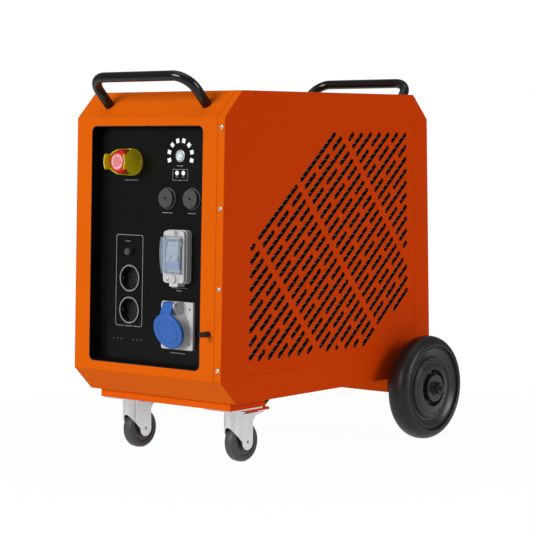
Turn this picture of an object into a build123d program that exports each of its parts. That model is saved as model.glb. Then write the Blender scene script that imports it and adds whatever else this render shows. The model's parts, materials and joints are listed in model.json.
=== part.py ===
from build123d import *
import os
from math import atan2, cos, degrees, hypot, radians, sin

# Portable battery power station on a trolley: a folded steel cabinet with a recessed control
# panel, slotted side covers, two tube handles, two front swivel casters and two rear wheels.
# Millimetres.  +Z is up, the control panel faces -Y, and the origin is on the floor under the
# middle of the cabinet.  "Left" is -X and "right" is +X.

# ---------------------------------------------------------------- cabinet
BODY_HALF_W = 196.0            # outer faces of the two side covers
SHEET = 2.0                    # folded steel sheet
BASE_Z, LOW_KNEE_Z = 126.0, 173.0
HIGH_KNEE_Z, TOP_Z = 675.0, 726.0
BASE_HALF_D, LOW_KNEE_HALF_D = 298.5, 345.5
HIGH_KNEE_HALF_D, TOP_HALF_D = 331.0, 280.0
WRAP_HALF_W = BODY_HALF_W - SHEET
SHELL_JOINT_Y = 268.0          # front and rear shells meet the top cover and base pan here
FLANGE_SEAM_X = 178.0          # inner edge of the side cover's folded flange
SEAM_GAP = 0.4

# Side cover: shallow pressed field with diagonal slots
FIELD_Z = (177.0, 676.0)
FIELD_Y_TOP, FIELD_Y_BOTTOM = (-276.0, 285.0), (-289.0, 293.0)
FIELD_CORNER_R = 30.0
FIELD_DEPTH, FIELD_SLOPE = 1.8, 4.0
SLOT_ANGLE = radians(40.15)
SLOT_WIDTH = 9.6
SLOT_CENTRE = (1.5, 424.5)     # y, z where the slot axes are measured from
SLOT_ROWS, SLOT_PITCH, SLOT_FIRST_ROW = 22, 19.81, -162.0
SLOT_GAP = 12.6                # web between two slots of one row
LONG_BREAKS = (-174.0, -3.5, 167.0)
SHORT_BREAKS = (-285.0, -227.0, -115.0, -56.5, 55.5, 113.5, 219.5, 278.0)
SLOT_FIELD_Z = (205.2, 645.2)
SLOT_FIELD_Y_MID = (-257.5, 265.0)   # left and right limits at z = 300
SLOT_FIELD_LEAN = 0.024
SHORTEST_SLOT, SHORTEST_END_SLOT = 10.0, 22.0
LAST_ROW_START = 63.0

# Louvre screens behind the slots
SCREEN_X, SCREEN_T = 184.0, 1.5
SCREEN_HALF_D, SCREEN_Z = 266.0, (196.0, 652.0)
LOUVRE_PITCH, LOUVRE_FIRST, LOUVRE_T, LOUVRE_D = 10.97, 10.3, 2.6, 3.0

# Front opening and recessed control panel
OPENING_X, OPENING_Z, OPENING_R = (-154.5, 141.5), (190.5, 659.0), 12.0
RECESS_DEPTH, TRAY_T, PANEL_T, TRAY_LIP = 24.0, 1.6, 3.0, 8.0
Z_MID = 424.0                  # height of the front planes' origin

# ---------------------------------------------------------------- running gear
CHANNEL_HALF_W, CHANNEL_Y, CHANNEL_Z, CHANNEL_T = 173.7, (-291.0, -186.0), 110.0, 3.0
CASTER_X, KINGPIN_Y, CASTER_AXLE_Y, CASTER_R = 137.0, -241.8, -216.4, 40.0
CASTER_PLATE = (72.0, 97.0, 3.0)
CASTER_PLATE_Y = -238.5
PAD_Y, PAD_Z = (-236.0, -172.0), (102.1, 107.0)
RACEWAY_R = 20.0
FORK_TOP, FORK_R, FORK_T, FORK_REAR_Y = 101.6, 17.2, 2.5, -167.0
FORK_WING_TOP, FORK_WEB_REAR_Y = 96.5, -229.0
FORK_BOSS_R, CASTER_HALF_W = 16.0, 12.6
CASTER_AXLE_R, RUN_GAP = 4.0, 0.05
KINGPIN_R = 6.0

WHEEL_X, WHEEL_Y, WHEEL_R, TYRE_HALF_W = 251.0, 250.0, 109.0, 25.4
BEAD_X, RIM_R, AXLE_R, AXLE_TIP_X = 18.5, 84.0, 8.0, 298.0
BRACKET_HALF_W, BRACKET_Y, BRACKET_Z, BRACKET_T = 190.0, (200.0, 300.0), 97.5, 4.0

# ---------------------------------------------------------------- handles
HANDLE_R, HANDLE_HALF_W, HANDLE_REACH, HANDLE_BEND = 10.0, 129.0, 77.0, 38.0
HANDLE_UP = 34.0               # distance of the feet up the chamfer from the knee
HANDLE_BOLT_R, HANDLE_BOLT_DEPTH = 4.0, 18.0

# ---------------------------------------------------------------- devices on the panel: x, z
ESTOP = (-63.5, 587.6)
POWER = (63.4, 600.7)
LAMP_X, LAMP_Z, LAMP_R = (55.0, 71.4), 567.5, 4.5
INPUTS = {"left_input_connector": (32.0, 518.0), "right_input_connector": (96.0, 518.0)}
SOCKETS = {"upper_mains_socket": (-66.0, 357.8), "lower_mains_socket": (-66.0, 294.4)}
OUTLET_BUTTON, BUTTON_R = (-69.0, 410.6), 7.0
BREAKER = (67.4, 405.7)
CEE = (66.0, 271.8)
EARTH_POST = (163.4, 263.3)


# ================================================================ helpers
def block(x, y, z):
    """Box between two x, two y and two z values."""
    size = (x[1] - x[0], y[1] - y[0], z[1] - z[0])
    return Pos(x[0], y[0], z[0]) * Box(*size, align=(Align.MIN,) * 3)


def yz_prism(points, x0, x1):
    """Polygon of (y, z) points, extruded from x0 to x1."""
    face = make_face(Polyline(*points, close=True))
    return extrude(Plane.YZ.offset(x0) * face, amount=x1 - x0)


def disc(radius, z0, z1):
    """Upright cylinder between two heights."""
    return Pos(0, 0, z0) * Cylinder(radius, z1 - z0, align=(Align.CENTER, Align.CENTER, Align.MIN))


def ring(outer, inner, z0, z1):
    return disc(outer, z0, z1) - disc(inner, z0 - 1, z1 + 1)


def x_rod(radius, x0, x1, y, z):
    """Cylinder along X."""
    return Pos(x0, y, z) * Rot(0, 90, 0) * disc(radius, 0, x1 - x0)


def rounded_plate(width, height, radius, z0, z1):
    return Pos(0, 0, z0) * extrude(RectangleRounded(width, height, radius), amount=z1 - z0)


def turned(points):
    """Solid of revolution about X from (x, radius) points."""
    return revolve(make_face(Polyline(*points, close=True)), Axis.X)


def joined(parts):
    """Several solids as the one shape of a node."""
    return Part() + list(parts)


def half_turn(shape):
    """The same piece turned half round about Z."""
    return Rot(0, 0, 180) * shape


def mirrored(shape):
    """The left-hand twin of a right-hand piece."""
    return mirror(shape, about=Plane.YZ)


# ---------------------------------------------------------------- reference planes
LEAN = atan2(LOW_KNEE_HALF_D - HIGH_KNEE_HALF_D, HIGH_KNEE_Z - LOW_KNEE_Z)
FACE_Y = -LOW_KNEE_HALF_D + (LOW_KNEE_HALF_D - HIGH_KNEE_HALF_D) * (Z_MID - LOW_KNEE_Z) / (
    HIGH_KNEE_Z - LOW_KNEE_Z)
FRONT = Plane(origin=(0, FACE_Y, Z_MID), x_dir=(1, 0, 0), z_dir=(0, -cos(LEAN), sin(LEAN)))
PANEL = Plane(origin=(0, FACE_Y + RECESS_DEPTH / cos(LEAN), Z_MID), x_dir=FRONT.x_dir, z_dir=FRONT.z_dir)
CHAMFER_UP = hypot(HIGH_KNEE_HALF_D - TOP_HALF_D, TOP_Z - HIGH_KNEE_Z)
FOOT_SHARE = HANDLE_UP / CHAMFER_UP
CHAMFER = Plane(
    origin=(0, -HIGH_KNEE_HALF_D + FOOT_SHARE * (HIGH_KNEE_HALF_D - TOP_HALF_D),
            HIGH_KNEE_Z + FOOT_SHARE * (TOP_Z - HIGH_KNEE_Z)),
    x_dir=(1, 0, 0),
    z_dir=(0, -(TOP_Z - HIGH_KNEE_Z), HIGH_KNEE_HALF_D - TOP_HALF_D))


def at_front(place, out=0.0):
    """Location on the cabinet's front face at (x, z)."""
    return FRONT.location * Pos(place[0], place[1] - Z_MID, out)


def at_panel(place, out=0.0):
    """Location on the control panel's surface at (x, z)."""
    return PANEL.location * Pos(place[0], place[1] - Z_MID, out)


# ================================================================ cabinet
def cabinet_outline():
    half = [(BASE_HALF_D, BASE_Z), (LOW_KNEE_HALF_D, LOW_KNEE_Z),
            (HIGH_KNEE_HALF_D, HIGH_KNEE_Z), (TOP_HALF_D, TOP_Z)]
    return [(-y, z) for y, z in half] + [(y, z) for y, z in reversed(half)]


def wrap():
    """The folded skin all round the cabinet, between the two side covers."""
    outer = make_face(Polyline(*cabinet_outline(), close=True))
    skin = outer - offset(outer, amount=-SHEET, kind=Kind.INTERSECTION)
    return extrude(Plane.YZ.offset(-WRAP_HALF_W) * skin, amount=2 * WRAP_HALF_W)


def flange_zone(x0):
    """Space of the right side cover's flange, at the front above the lower knee."""
    return block((x0, 400), (-400, -SHELL_JOINT_Y - SEAM_GAP / 2), (LOW_KNEE_Z, 800))


def opening_face(grow=0.0):
    """The front opening, in the front planes' coordinates."""
    width, height = OPENING_X[1] - OPENING_X[0], OPENING_Z[1] - OPENING_Z[0]
    middle = (sum(OPENING_X) / 2, sum(OPENING_Z) / 2 - Z_MID)
    corner = OPENING_R + grow
    return Pos(*middle) * RectangleRounded(width + 2 * grow, height + 2 * grow, corner)


def opening_prism(grow, out0, out1):
    return FRONT.location * extrude(Pos(0, 0, out0) * opening_face(grow), amount=out1 - out0)


def handle_holes():
    holes = [CHAMFER.location * Pos(x, 0, 0) * disc(HANDLE_BOLT_R, -20, 20)
             for x in (-HANDLE_HALF_W, HANDLE_HALF_W)]
    return joined(holes)


def shell_end():
    """Front or rear end of the skin, with the handle holes, before any opening is cut."""
    end = wrap() & block((-400, 400), (-400, -SHELL_JOINT_Y), (0, 800))
    return end - flange_zone(FLANGE_SEAM_X - SEAM_GAP / 2) - handle_holes()


def front_shell():
    earth_hole = at_front(EARTH_POST) * disc(4.0, -20, 20)
    return shell_end() - opening_prism(0, -20, 20) - earth_hole


def rear_shell():
    return half_turn(shell_end())


def middle_skin(z0, z1):
    span = SHELL_JOINT_Y - SEAM_GAP
    return wrap() & block((-400, 400), (-span, span), (z0, z1))


# ---------------------------------------------------------------- side covers
def field_face(inset):
    """Leaning four-sided field with round corners, in (y, z)."""
    corners = [(FIELD_Y_BOTTOM[0], FIELD_Z[0]), (FIELD_Y_BOTTOM[1], FIELD_Z[0]),
               (FIELD_Y_TOP[1], FIELD_Z[1]), (FIELD_Y_TOP[0], FIELD_Z[1])]
    face = make_face(Polyline(*corners, close=True))
    face = fillet(face.vertices(), FIELD_CORNER_R)
    return offset(face, amount=-inset) if inset else face


def slot_limits(across):
    """Ends of one slot row, and whether each is set by a leaning side of the field."""
    along_y, along_z = cos(SLOT_ANGLE), sin(SLOT_ANGLE)
    y0 = SLOT_CENTRE[0] + across * along_z
    z0 = SLOT_CENTRE[1] - across * along_y
    rise = SLOT_FIELD_LEAN * (z0 - 300.0)
    left = (SLOT_FIELD_Y_MID[0] + rise - y0) / (along_y - SLOT_FIELD_LEAN * along_z)
    right = (SLOT_FIELD_Y_MID[1] - rise - y0) / (along_y + SLOT_FIELD_LEAN * along_z)
    bottom = (SLOT_FIELD_Z[0] - z0) / along_z
    top = (SLOT_FIELD_Z[1] - z0) / along_z
    return max(left, bottom), left > bottom, min(right, top), right < top


def slot_runs(row):
    """(start, end) of every slot in a row: long slots in even rows, short ones in odd rows."""
    low, low_is_side, high, high_is_side = slot_limits(SLOT_FIRST_ROW + row * SLOT_PITCH)
    if row == SLOT_ROWS - 1:
        low = LAST_ROW_START
    breaks = sorted(LONG_BREAKS + (SHORT_BREAKS if row % 2 else ()))
    breaks = [b for b in breaks if low - SLOT_GAP / 2 < b < high + SLOT_GAP / 2]
    least_low = SHORTEST_END_SLOT if low_is_side else SHORTEST_SLOT
    least_high = SHORTEST_END_SLOT if high_is_side else SHORTEST_SLOT
    if breaks and breaks[0] in SHORT_BREAKS and breaks[0] - SLOT_GAP / 2 - low < least_low:
        breaks = breaks[1:]
    if breaks and breaks[-1] in SHORT_BREAKS and high - breaks[-1] - SLOT_GAP / 2 < least_high:
        breaks = breaks[:-1]
    starts = [low] + [b + SLOT_GAP / 2 for b in breaks]
    ends = [b - SLOT_GAP / 2 for b in breaks] + [high]
    return [(s, e) for s, e in zip(starts, ends) if e - s > SHORTEST_SLOT]


def slot_cutter():
    """All the slots of a side cover as one cutting tool."""
    along = (cos(SLOT_ANGLE), sin(SLOT_ANGLE))
    slots = []
    for row in range(SLOT_ROWS):
        across = SLOT_FIRST_ROW + row * SLOT_PITCH
        for start, end in slot_runs(row):
            middle = (start + end) / 2
            y = SLOT_CENTRE[0] + middle * along[0] + across * along[1]
            z = SLOT_CENTRE[1] + middle * along[1] - across * along[0]
            shape = SlotOverall(end - start, SLOT_WIDTH, rotation=degrees(SLOT_ANGLE))
            slots.append(extrude(Plane.YZ.offset(BODY_HALF_W - 8) * Pos(y, z) * shape, amount=12))
    return slots


def right_side_cover():
    plate = yz_prism(cabinet_outline(), WRAP_HALF_W, BODY_HALF_W)
    plate = fillet(plate.faces().sort_by(Axis.X)[-1].edges(), 1.4)
    outer, inner = field_face(0), field_face(FIELD_SLOPE)
    pressed = loft([Plane.YZ.offset(BODY_HALF_W) * outer,
                    Plane.YZ.offset(BODY_HALF_W - FIELD_DEPTH) * inner], ruled=True)
    backing = extrude(Plane.YZ.offset(WRAP_HALF_W - FIELD_DEPTH) * field_face(1.0), amount=FIELD_DEPTH)
    flange = wrap() & flange_zone(FLANGE_SEAM_X + SEAM_GAP / 2)
    cover = plate - pressed + backing + flange
    return cover - slot_cutter() - joined(cover_screw_holes())


COVER_SCREW_X, UPRIGHT_X = 188.6, 186.3
COVER_SCREW_Z = (656.0, 502.0, 349.5, 195.0)
SCREW_HEAD_R, SCREW_HEAD_T, SCREW_R, SCREW_L = 4.2, 2.4, 2.0, 12.0


def pan_screw(head_r, head_t, shank_r, shank_l):
    """Pan-head screw whose head sits on z = 0, with a cross recess."""
    head = disc(head_r, 0, head_t)
    head = fillet(head.edges().sort_by(Axis.Z)[-1], head_t * 0.45)
    cross = Box(head_r * 1.1, 0.9, 2.4) + Box(0.9, head_r * 1.1, 2.4)
    return head + disc(shank_r, -shank_l, 0) - Pos(0, 0, head_t) * cross


def cover_screw_holes():
    return [at_front((COVER_SCREW_X, z)) * disc(SCREW_R, -20, 5) for z in COVER_SCREW_Z]


def side_cover_screws():
    screw = pan_screw(SCREW_HEAD_R, SCREW_HEAD_T, SCREW_R, SCREW_L)
    front = joined(at_front((COVER_SCREW_X, z)) * screw for z in COVER_SCREW_Z)
    return joined([front, half_turn(front)])


def louvre_screen():
    """Ribbed screen just inside the right side cover."""
    screen = block((SCREEN_X, SCREEN_X + SCREEN_T), (-SCREEN_HALF_D, SCREEN_HALF_D), SCREEN_Z)
    count = int((SCREEN_Z[1] - SCREEN_Z[0] - LOUVRE_FIRST) / LOUVRE_PITCH)
    ribs = [block((SCREEN_X + SCREEN_T - 0.2, SCREEN_X + SCREEN_T + LOUVRE_D),
                  (-SCREEN_HALF_D, SCREEN_HALF_D), (z, z + LOUVRE_T))
            for z in (SCREEN_Z[0] + LOUVRE_FIRST + LOUVRE_PITCH * i for i in range(count))]
    return screen + ribs


# ---------------------------------------------------------------- inside the cabinet
FRAME_BAR = 12.0
FRAME_HALF_D = 286.0
BATTERY = ((-165.0, 165.0), (-215.0, 215.0), (142.0, 392.0))
INVERTER = ((-130.0, 165.0), (-200.0, 200.0), (420.0, 560.0))
FAN_X, FAN_Z, FAN_SIZE, FAN_T, FAN_BORE = -160.0, 490.0, 120.0, 25.0, 57.0


def upright():
    """Leaning corner post behind the right front flange."""
    size = (FRAME_BAR, HIGH_KNEE_Z - LOW_KNEE_Z - 24, 14)
    post = Box(*size, align=(Align.CENTER, Align.CENTER, Align.MAX))
    return FRONT.location * Pos(UPRIGHT_X, 0, -SHEET) * post


def inner_frame():
    """Welded posts and rails that carry the battery, the inverter and the covers."""
    post = upright()
    posts = [post, mirrored(post), half_turn(post), half_turn(mirrored(post))]
    rails = []
    for side in (-1, 1):
        x = sorted((side * 168.0, side * 180.0))
        for z in ((129.0, 141.0), (394.0, 406.0), (710.0, 722.0)):
            half = FRAME_HALF_D if z[0] < 500 else TOP_HALF_D - 12
            rails.append(block(x, (-half, half), z))
        for y in (-232.0, 232.0):
            rails.append(block(x, (y - 6, y + 6), (140.0, 711.0)))
    for y in (-232.0, 232.0):
        rails.append(block((-169.0, 169.0), (y - 6, y + 6), (394.0, 406.0)))
        rails.append(block((-169.0, 169.0), (y - 6, y + 6), (129.0, 141.0)))
        rails.append(block((-169.0, 169.0), (y - 6, y + 6), (710.0, 722.0)))
    for side in (-1, 1):
        for end in (-1, 1):
            for z in ((192.0, 204.0), (394.0, 406.0), (640.0, 652.0)):
                arm_y = sorted((end * 226.0, end * (HIGH_KNEE_HALF_D - 6.0)))
                arm_x = sorted((side * 170.0, side * 183.0))
                rails.append(block(arm_x, arm_y, z))
    drill = joined(cover_screw_holes())
    return joined(posts + rails) - drill - half_turn(drill)


def battery_pack():
    case = block(*BATTERY)
    case = fillet(case.edges().filter_by(Axis.Z), 8)
    lid_seam = block((-400, 400), (-400, 400), (330.0, 332.0)) - block((-163, 163), (-213, 213), (320, 340))
    terminals = [Pos(x, -150, BATTERY[2][1]) * disc(9, 0, 8) for x in (-60, 60)]
    return case - lid_seam + terminals


def inverter_module():
    """Inverter on a finned heat sink, resting on the middle rails."""
    core = block(*INVERTER)
    foot = block((-167.9, 167.9), (-238.0, -226.0), (406.0, 410.0))
    feet = foot + mirror(foot, about=Plane.XZ)
    tray = block((-160.0, 160.0), (-238.0, 238.0), (410.0, 414.0))
    base = block((-120.0, 155.0), (-190.0, 190.0), (413.9, 420.1))
    fins = [block((x, x + 3), (-195.0, 195.0), (559.9, 600.0)) for x in range(-125, 160, 12)]
    return core + feet + tray + base + fins


def fan_at(shape):
    return Pos(FAN_X, 0, FAN_Z) * Rot(0, 90, 0) * shape


def fan_housing():
    frame = rounded_plate(FAN_SIZE, FAN_SIZE, 6, -FAN_T / 2, FAN_T / 2) - disc(FAN_BORE, -20, 20)
    spider = disc(18, FAN_T / 2 - 3, FAN_T / 2)
    for turn in (45, 135):
        spider += Rot(0, 0, turn) * block((-FAN_BORE - 1, FAN_BORE + 1), (-3, 3), (FAN_T / 2 - 3, FAN_T / 2))
    shaft = disc(2.0, -6, FAN_T / 2)
    foot = block((FAN_SIZE / 2 - 0.1, FAN_SIZE / 2 + 16), (-30, 30), (-5, 5))
    return fan_at(frame + spider + shaft + foot)


def fan_rotor():
    hub = disc(18, -9, 8) - disc(2.0 + RUN_GAP, -8, 9)
    blade = Pos(35, 0, 0) * Rot(32, 0, 0) * Box(38, 22, 1.6)
    blades = [Rot(0, 0, i * 360 / 7) * blade for i in range(7)]
    return fan_at((hub + blades) & disc(FAN_BORE - 2, -11, 9))


# ---------------------------------------------------------------- recess and panel
def panel_tray():
    """Black tray that lines the recess, with a lip behind the panel plate."""
    depth = RECESS_DEPTH + PANEL_T
    walls = opening_prism(0, -depth, 0) - opening_prism(-TRAY_T, -depth - 1, 1)
    lip = opening_prism(0, -depth - 2, -depth) - opening_prism(-TRAY_LIP, -depth - 3, 1)
    return walls + lip


def panel_cutouts():
    """Holes in the panel plate for everything that passes through it."""
    back = -PANEL_T - 1
    cuts = [at_panel(ESTOP) * disc(11.2, back, 1), at_panel(POWER) * disc(9.0, back, 1),
            at_panel(OUTLET_BUTTON) * disc(BUTTON_R + 0.3, back, 1)]
    cuts += [at_panel(p) * disc(13.2, back, 1) for p in INPUTS.values()]
    cuts += [at_panel(p) * disc(SOCKET_BODY_R + 0.2, back, 1) for p in SOCKETS.values()]
    cuts.append(at_panel(CEE) * Pos(0, 0, back) * extrude(RectangleRounded(72, 84, 6), amount=6))
    return cuts


def control_panel():
    depth = RECESS_DEPTH + PANEL_T
    plate = opening_prism(-TRAY_T, -depth, -RECESS_DEPTH)
    return plate - panel_cutouts()


MARK_T, WORD_STEP = 0.3, 5.4


def bar(x, z, width, height):
    """Plain printed bar on the panel, centred at (x, z)."""
    return at_panel((x, z)) * Pos(0, 0, MARK_T / 2) * Box(width, height, MARK_T)


def words(x, z, width):
    """Row of short dashes that stands for a printed label, centred at (x, z)."""
    count = max(2, round(width / WORD_STEP))
    step = width / count
    first = x - (count - 1) / 2 * step
    return [bar(first + i * step, z, step * (0.86 if i % 3 else 0.7), 1.7) for i in range(count)]


def outline(x, z, line, radius, gap):
    """Printed rounded frame between two x and two z values, with a gap in its bottom line."""
    middle = ((x[0] + x[1]) / 2, (z[0] + z[1]) / 2)
    width, height = x[1] - x[0], z[1] - z[0]
    frame = rounded_plate(width, height, radius, 0, MARK_T)
    clear = rounded_plate(width - 2 * line, height - 2 * line, radius - line / 2, -1, 2)
    return at_panel(middle) * (frame - clear - Pos(0, -height / 2, 0) * Box(gap, 4, 4))


def panel_markings():
    marks = [outline((-105.6, -32.6), (262.0, 444.0), 1.3, 5.0, 26),
             outline((43.0, 83.0), (553.0, 575.0), 1.0, 2.0, 14)]
    labels = [(-74.1, 431.0, 14), (-66.7, 552.2, 37.5), (61.7, 581.5, 17), (-69.1, 262.6, 22),
              (65.3, 344.8, 41), (64.9, 339.3, 15), (64.1, 217.7, 39), (63.0, 553.5, 10)]
    labels += [(INPUTS["left_input_connector"][0] - 1.5, 490.0, 27),
               (INPUTS["right_input_connector"][0] - 1.5, 490.0, 22)]
    for label in labels:
        marks += words(*label)
    marks += [bar(x, 559.6, 7, 1.2) for x in LAMP_X]
    marks += [bar(x, 236.0, 2.2, 1.5) for x in (-110, -99, -88, -56, -45, -34)]
    return joined(marks)


# ================================================================ panel devices
def estop_guard():
    """Yellow shroud: a low collar with two flared ears left and right of the button."""
    outer = [(0, 0), (26.5, 0), (26.5, 8), (29, 54), (27, 54), (24.4, 8), (24.4, 4), (0, 4)]
    wall = revolve(Plane.XZ * make_face(Polyline(*outer, close=True)), Axis.Z)
    gap = [(-4, 8), (4, 8), (16, 26), (24.5, 44), (24.5, 60), (-24.5, 60), (-24, 40), (-12.5, 30)]
    notch = extrude(Plane.XZ.offset(-60) * make_face(Polyline(*gap, close=True)), amount=120)
    side_window = block((20, 40), (-4.5, 4.5), (4, 10.5))
    return at_panel(ESTOP) * (wall - notch - side_window - disc(11.0, -1, 5))


ESTOP_STEM_R = 8.0


def estop_stem():
    body = disc(10.9, -30, 3.9) + disc(ESTOP_STEM_R, 3.9, 34)
    return at_panel(ESTOP) * body


def estop_button():
    """Red mushroom head that turns on its stem."""
    dome = [(0, 31), (20.5, 31), (22.5, 33.5), (22.5, 38.5), (19.5, 43), (16, 45), (0, 45.2)]
    head = revolve(Plane.XZ * make_face(Polyline(*dome, close=True)), Axis.Z)
    skirt = disc(21.0, 12, 31.2)
    return at_panel(ESTOP) * (head + skirt - disc(ESTOP_STEM_R + RUN_GAP, 11, 34.05))


def power_button_bezel():
    shape = ring(12.0, 7.9, 0, 2.4)
    shape = fillet(shape.edges().sort_by(Axis.Z)[-2:], 0.8)
    return at_panel(POWER) * (shape + ring(8.9, 7.9, -18, 0.1) - disc(7.9, -19, 3))


def power_button():
    cap = disc(7.6, -12, 2.6) - ring(5.9, 5.4, 2.2, 3)
    return at_panel(POWER) * cap


LED_RING_R, LED_STEP, LED_COUNT = 30.2, 30.4, 8


def indicator_lights():
    """Arc of charge-level segments and the two round lamps below it."""
    lights = []
    for i in range(LED_COUNT):
        turn = (i - (LED_COUNT - 1) / 2) * LED_STEP
        segment = Pos(0, LED_RING_R, 0.4) * Box(7.8, 8.6, 0.8)
        lights.append(at_panel(POWER) * Rot(0, 0, turn) * segment)
    for x in LAMP_X:
        lights.append(at_panel((x, LAMP_Z)) * disc(LAMP_R, 0, 1.0))
    return joined(lights)


INPUT_FLANGE_R, INPUT_CAP_R, INPUT_FACE = 21.3, 18.3, 9.0
INPUT_HOLE_R, INPUT_HOLE_DEPTH = 2.7, 20.0


def input_connector(place):
    """Round panel input: a thin flange and a tall cap with a ring groove and a contact bore."""
    cap = disc(INPUT_CAP_R, 0, INPUT_FACE)
    cap = fillet(cap.edges().sort_by(Axis.Z)[-1], 1.0) - ring(9.2, 8.4, INPUT_FACE - 0.5, INPUT_FACE + 1)
    shape = disc(INPUT_FLANGE_R, 0, 1.6) + cap + disc(13.0, -24, 0.1)
    return at_panel(place) * (shape - disc(INPUT_HOLE_R, INPUT_FACE - INPUT_HOLE_DEPTH, INPUT_FACE + 1))


SOCKET_R, SOCKET_BODY_R, WELL_R, WELL_DEPTH = 27.0, 25.8, 23.4, 17.5
CONTACT_PITCH, CONTACT_R = 19.0, 2.5


def mains_socket(place):
    """Domestic round socket: a bezel, a deep well with side guides, and two contact holes."""
    shape = disc(SOCKET_R, 0, 3.0)
    shape = fillet(shape.edges().sort_by(Axis.Z)[-1], 1.0)
    shape += disc(SOCKET_BODY_R, -WELL_DEPTH - 14, 0.1)
    shape -= disc(WELL_R, 3 - WELL_DEPTH, 4)
    guide = block((16.5, WELL_R + 0.3), (-6.5, 6.5), (3 - WELL_DEPTH, 1.8))
    shape += [guide, Rot(0, 0, 180) * (block((20.0, WELL_R + 0.3), (-3, 3), (3 - WELL_DEPTH, -2)))]
    for x in (-CONTACT_PITCH / 2, CONTACT_PITCH / 2):
        shape -= Pos(x, 0, 0) * disc(CONTACT_R, -WELL_DEPTH - 10, 0)
    for side in (-1, 1):
        shape -= Pos(0, side * (WELL_R - 0.6), -3) * Box(5.4, 4.2, 30)
    return at_panel(place) * shape


def socket_earth_clips():
    """Sprung earth contacts at the top and bottom of each mains socket."""
    clips = []
    for place in SOCKETS.values():
        for side in (-1, 1):
            strip = Pos(0, side * (WELL_R - 0.7), -8.0) * Box(4.2, 1.0, 20.0)
            clips.append(at_panel(place) * strip)
    return joined(clips)


def outlet_button():
    """Push button that runs through the panel plate."""
    cap = disc(BUTTON_R, -9, 9)
    return at_panel(OUTLET_BUTTON) * fillet(cap.edges().sort_by(Axis.Z)[-1], 0.8)


# ---------------------------------------------------------------- breaker enclosure
BREAKER_W, BREAKER_H = 57.0, 104.0
BREAKER_STEP, BREAKER_FACE = 14.0, 21.0
WINDOW_HALF_W, WINDOW_Z = 24.5, (-33.0, 38.0)     # relative to the enclosure's middle
WINDOW_LOW_P, WINDOW_MID_P, WINDOW_TOP_P, WINDOW_T = 27.5, 34.6, 31.5, 2.0
WINDOW_HINGE = (32.5, 25.0)                         # up, out
WINDOW_PIN_R, WINDOW_SWEEP_R, LUG_X, LUG_R = 1.5, 9.0, (20.1, 22.1), 3.0
TOGGLE_AXIS = (-5.0, 20.5)
TOGGLE_DRUM_R, TOGGLE_HEAD_R, TOGGLE_TIP_R, TOGGLE_TILT = 4.6, 4.9, 7.4, 20.0
KNOB_PLACE, KNOB_R, KNOB_SHAFT_R = (1.8, -43.3), 7.4, 3.0


def breaker_box():
    """Two-step enclosure with a cavity for the breaker and lugs for the window."""
    lower = rounded_plate(BREAKER_W, BREAKER_H, 9, 0, BREAKER_STEP)
    lower = fillet(lower.edges().group_by(Axis.Z)[-1], 1.5)
    upper = rounded_plate(BREAKER_W - 2.5, BREAKER_H - 2.5, 8, BREAKER_STEP - 0.1, BREAKER_FACE)
    upper = fillet(upper.edges().group_by(Axis.Z)[-1], 1.5)
    tab = Pos(1.8, -47.5, 0) * extrude(RectangleRounded(21.5, 20, 3), amount=BREAKER_FACE + 0.8)
    cavity = block((-22.9, 22.9), (WINDOW_Z[0] + 1, WINDOW_Z[1] - 4), (3, 40))
    window_x = (-WINDOW_HALF_W - 0.5, WINDOW_HALF_W + 0.5)
    sweep = x_rod(WINDOW_SWEEP_R, *window_x, *WINDOW_HINGE)
    recess = Pos(7, 46, 0) * disc(5.2, BREAKER_FACE - 2.5, 40)
    hole = Pos(-15.5, -45.5, 0) * disc(1.8, BREAKER_FACE - 8, 40)
    slot = Pos(-11.4, -44, BREAKER_FACE) * Box(1.2, 10, 3) + Pos(16.0, -44, BREAKER_FACE) * Box(1.2, 14, 3)
    shape = lower + upper + tab - cavity - sweep - recess - hole - slot
    shape -= Pos(*KNOB_PLACE, 0) * disc(KNOB_SHAFT_R + RUN_GAP, BREAKER_FACE - 9, 40)
    for side in (-1, 1):
        x, up = sorted((side * LUG_X[0], side * LUG_X[1])), WINDOW_HINGE[0]
        lug = block(x, (up - LUG_R, up + LUG_R), (2, WINDOW_HINGE[1])) + x_rod(LUG_R, *x, *WINDOW_HINGE)
        pin_x = sorted((side * (LUG_X[1] - 0.1), side * (WINDOW_HALF_W - 0.2)))
        bridge_x = sorted((side * LUG_X[0], side * (LUG_X[1] + 1.4)))
        bridge = block(bridge_x, (up - LUG_R, up + 1.4), (2, WINDOW_HINGE[1] - WINDOW_SWEEP_R))
        shape += [lug, x_rod(WINDOW_PIN_R, *pin_x, *WINDOW_HINGE), bridge]
    return at_panel(BREAKER) * shape


def window_arc(inset):
    """Side outline of the bowed window in (up, out), inset by a wall thickness."""
    low, high = WINDOW_Z[0] + inset, WINDOW_Z[1] - inset
    foot, mid = BREAKER_FACE + 0.4 - 5 * inset, WINDOW_MID_P - inset
    arc = ThreePointArc((low, WINDOW_LOW_P - inset), (6.0, mid), (high, WINDOW_TOP_P - inset))
    rest = Polyline((high, WINDOW_TOP_P - inset), (high, foot), (low, foot), (low, WINDOW_LOW_P - inset))
    return make_face([arc, rest])


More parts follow.
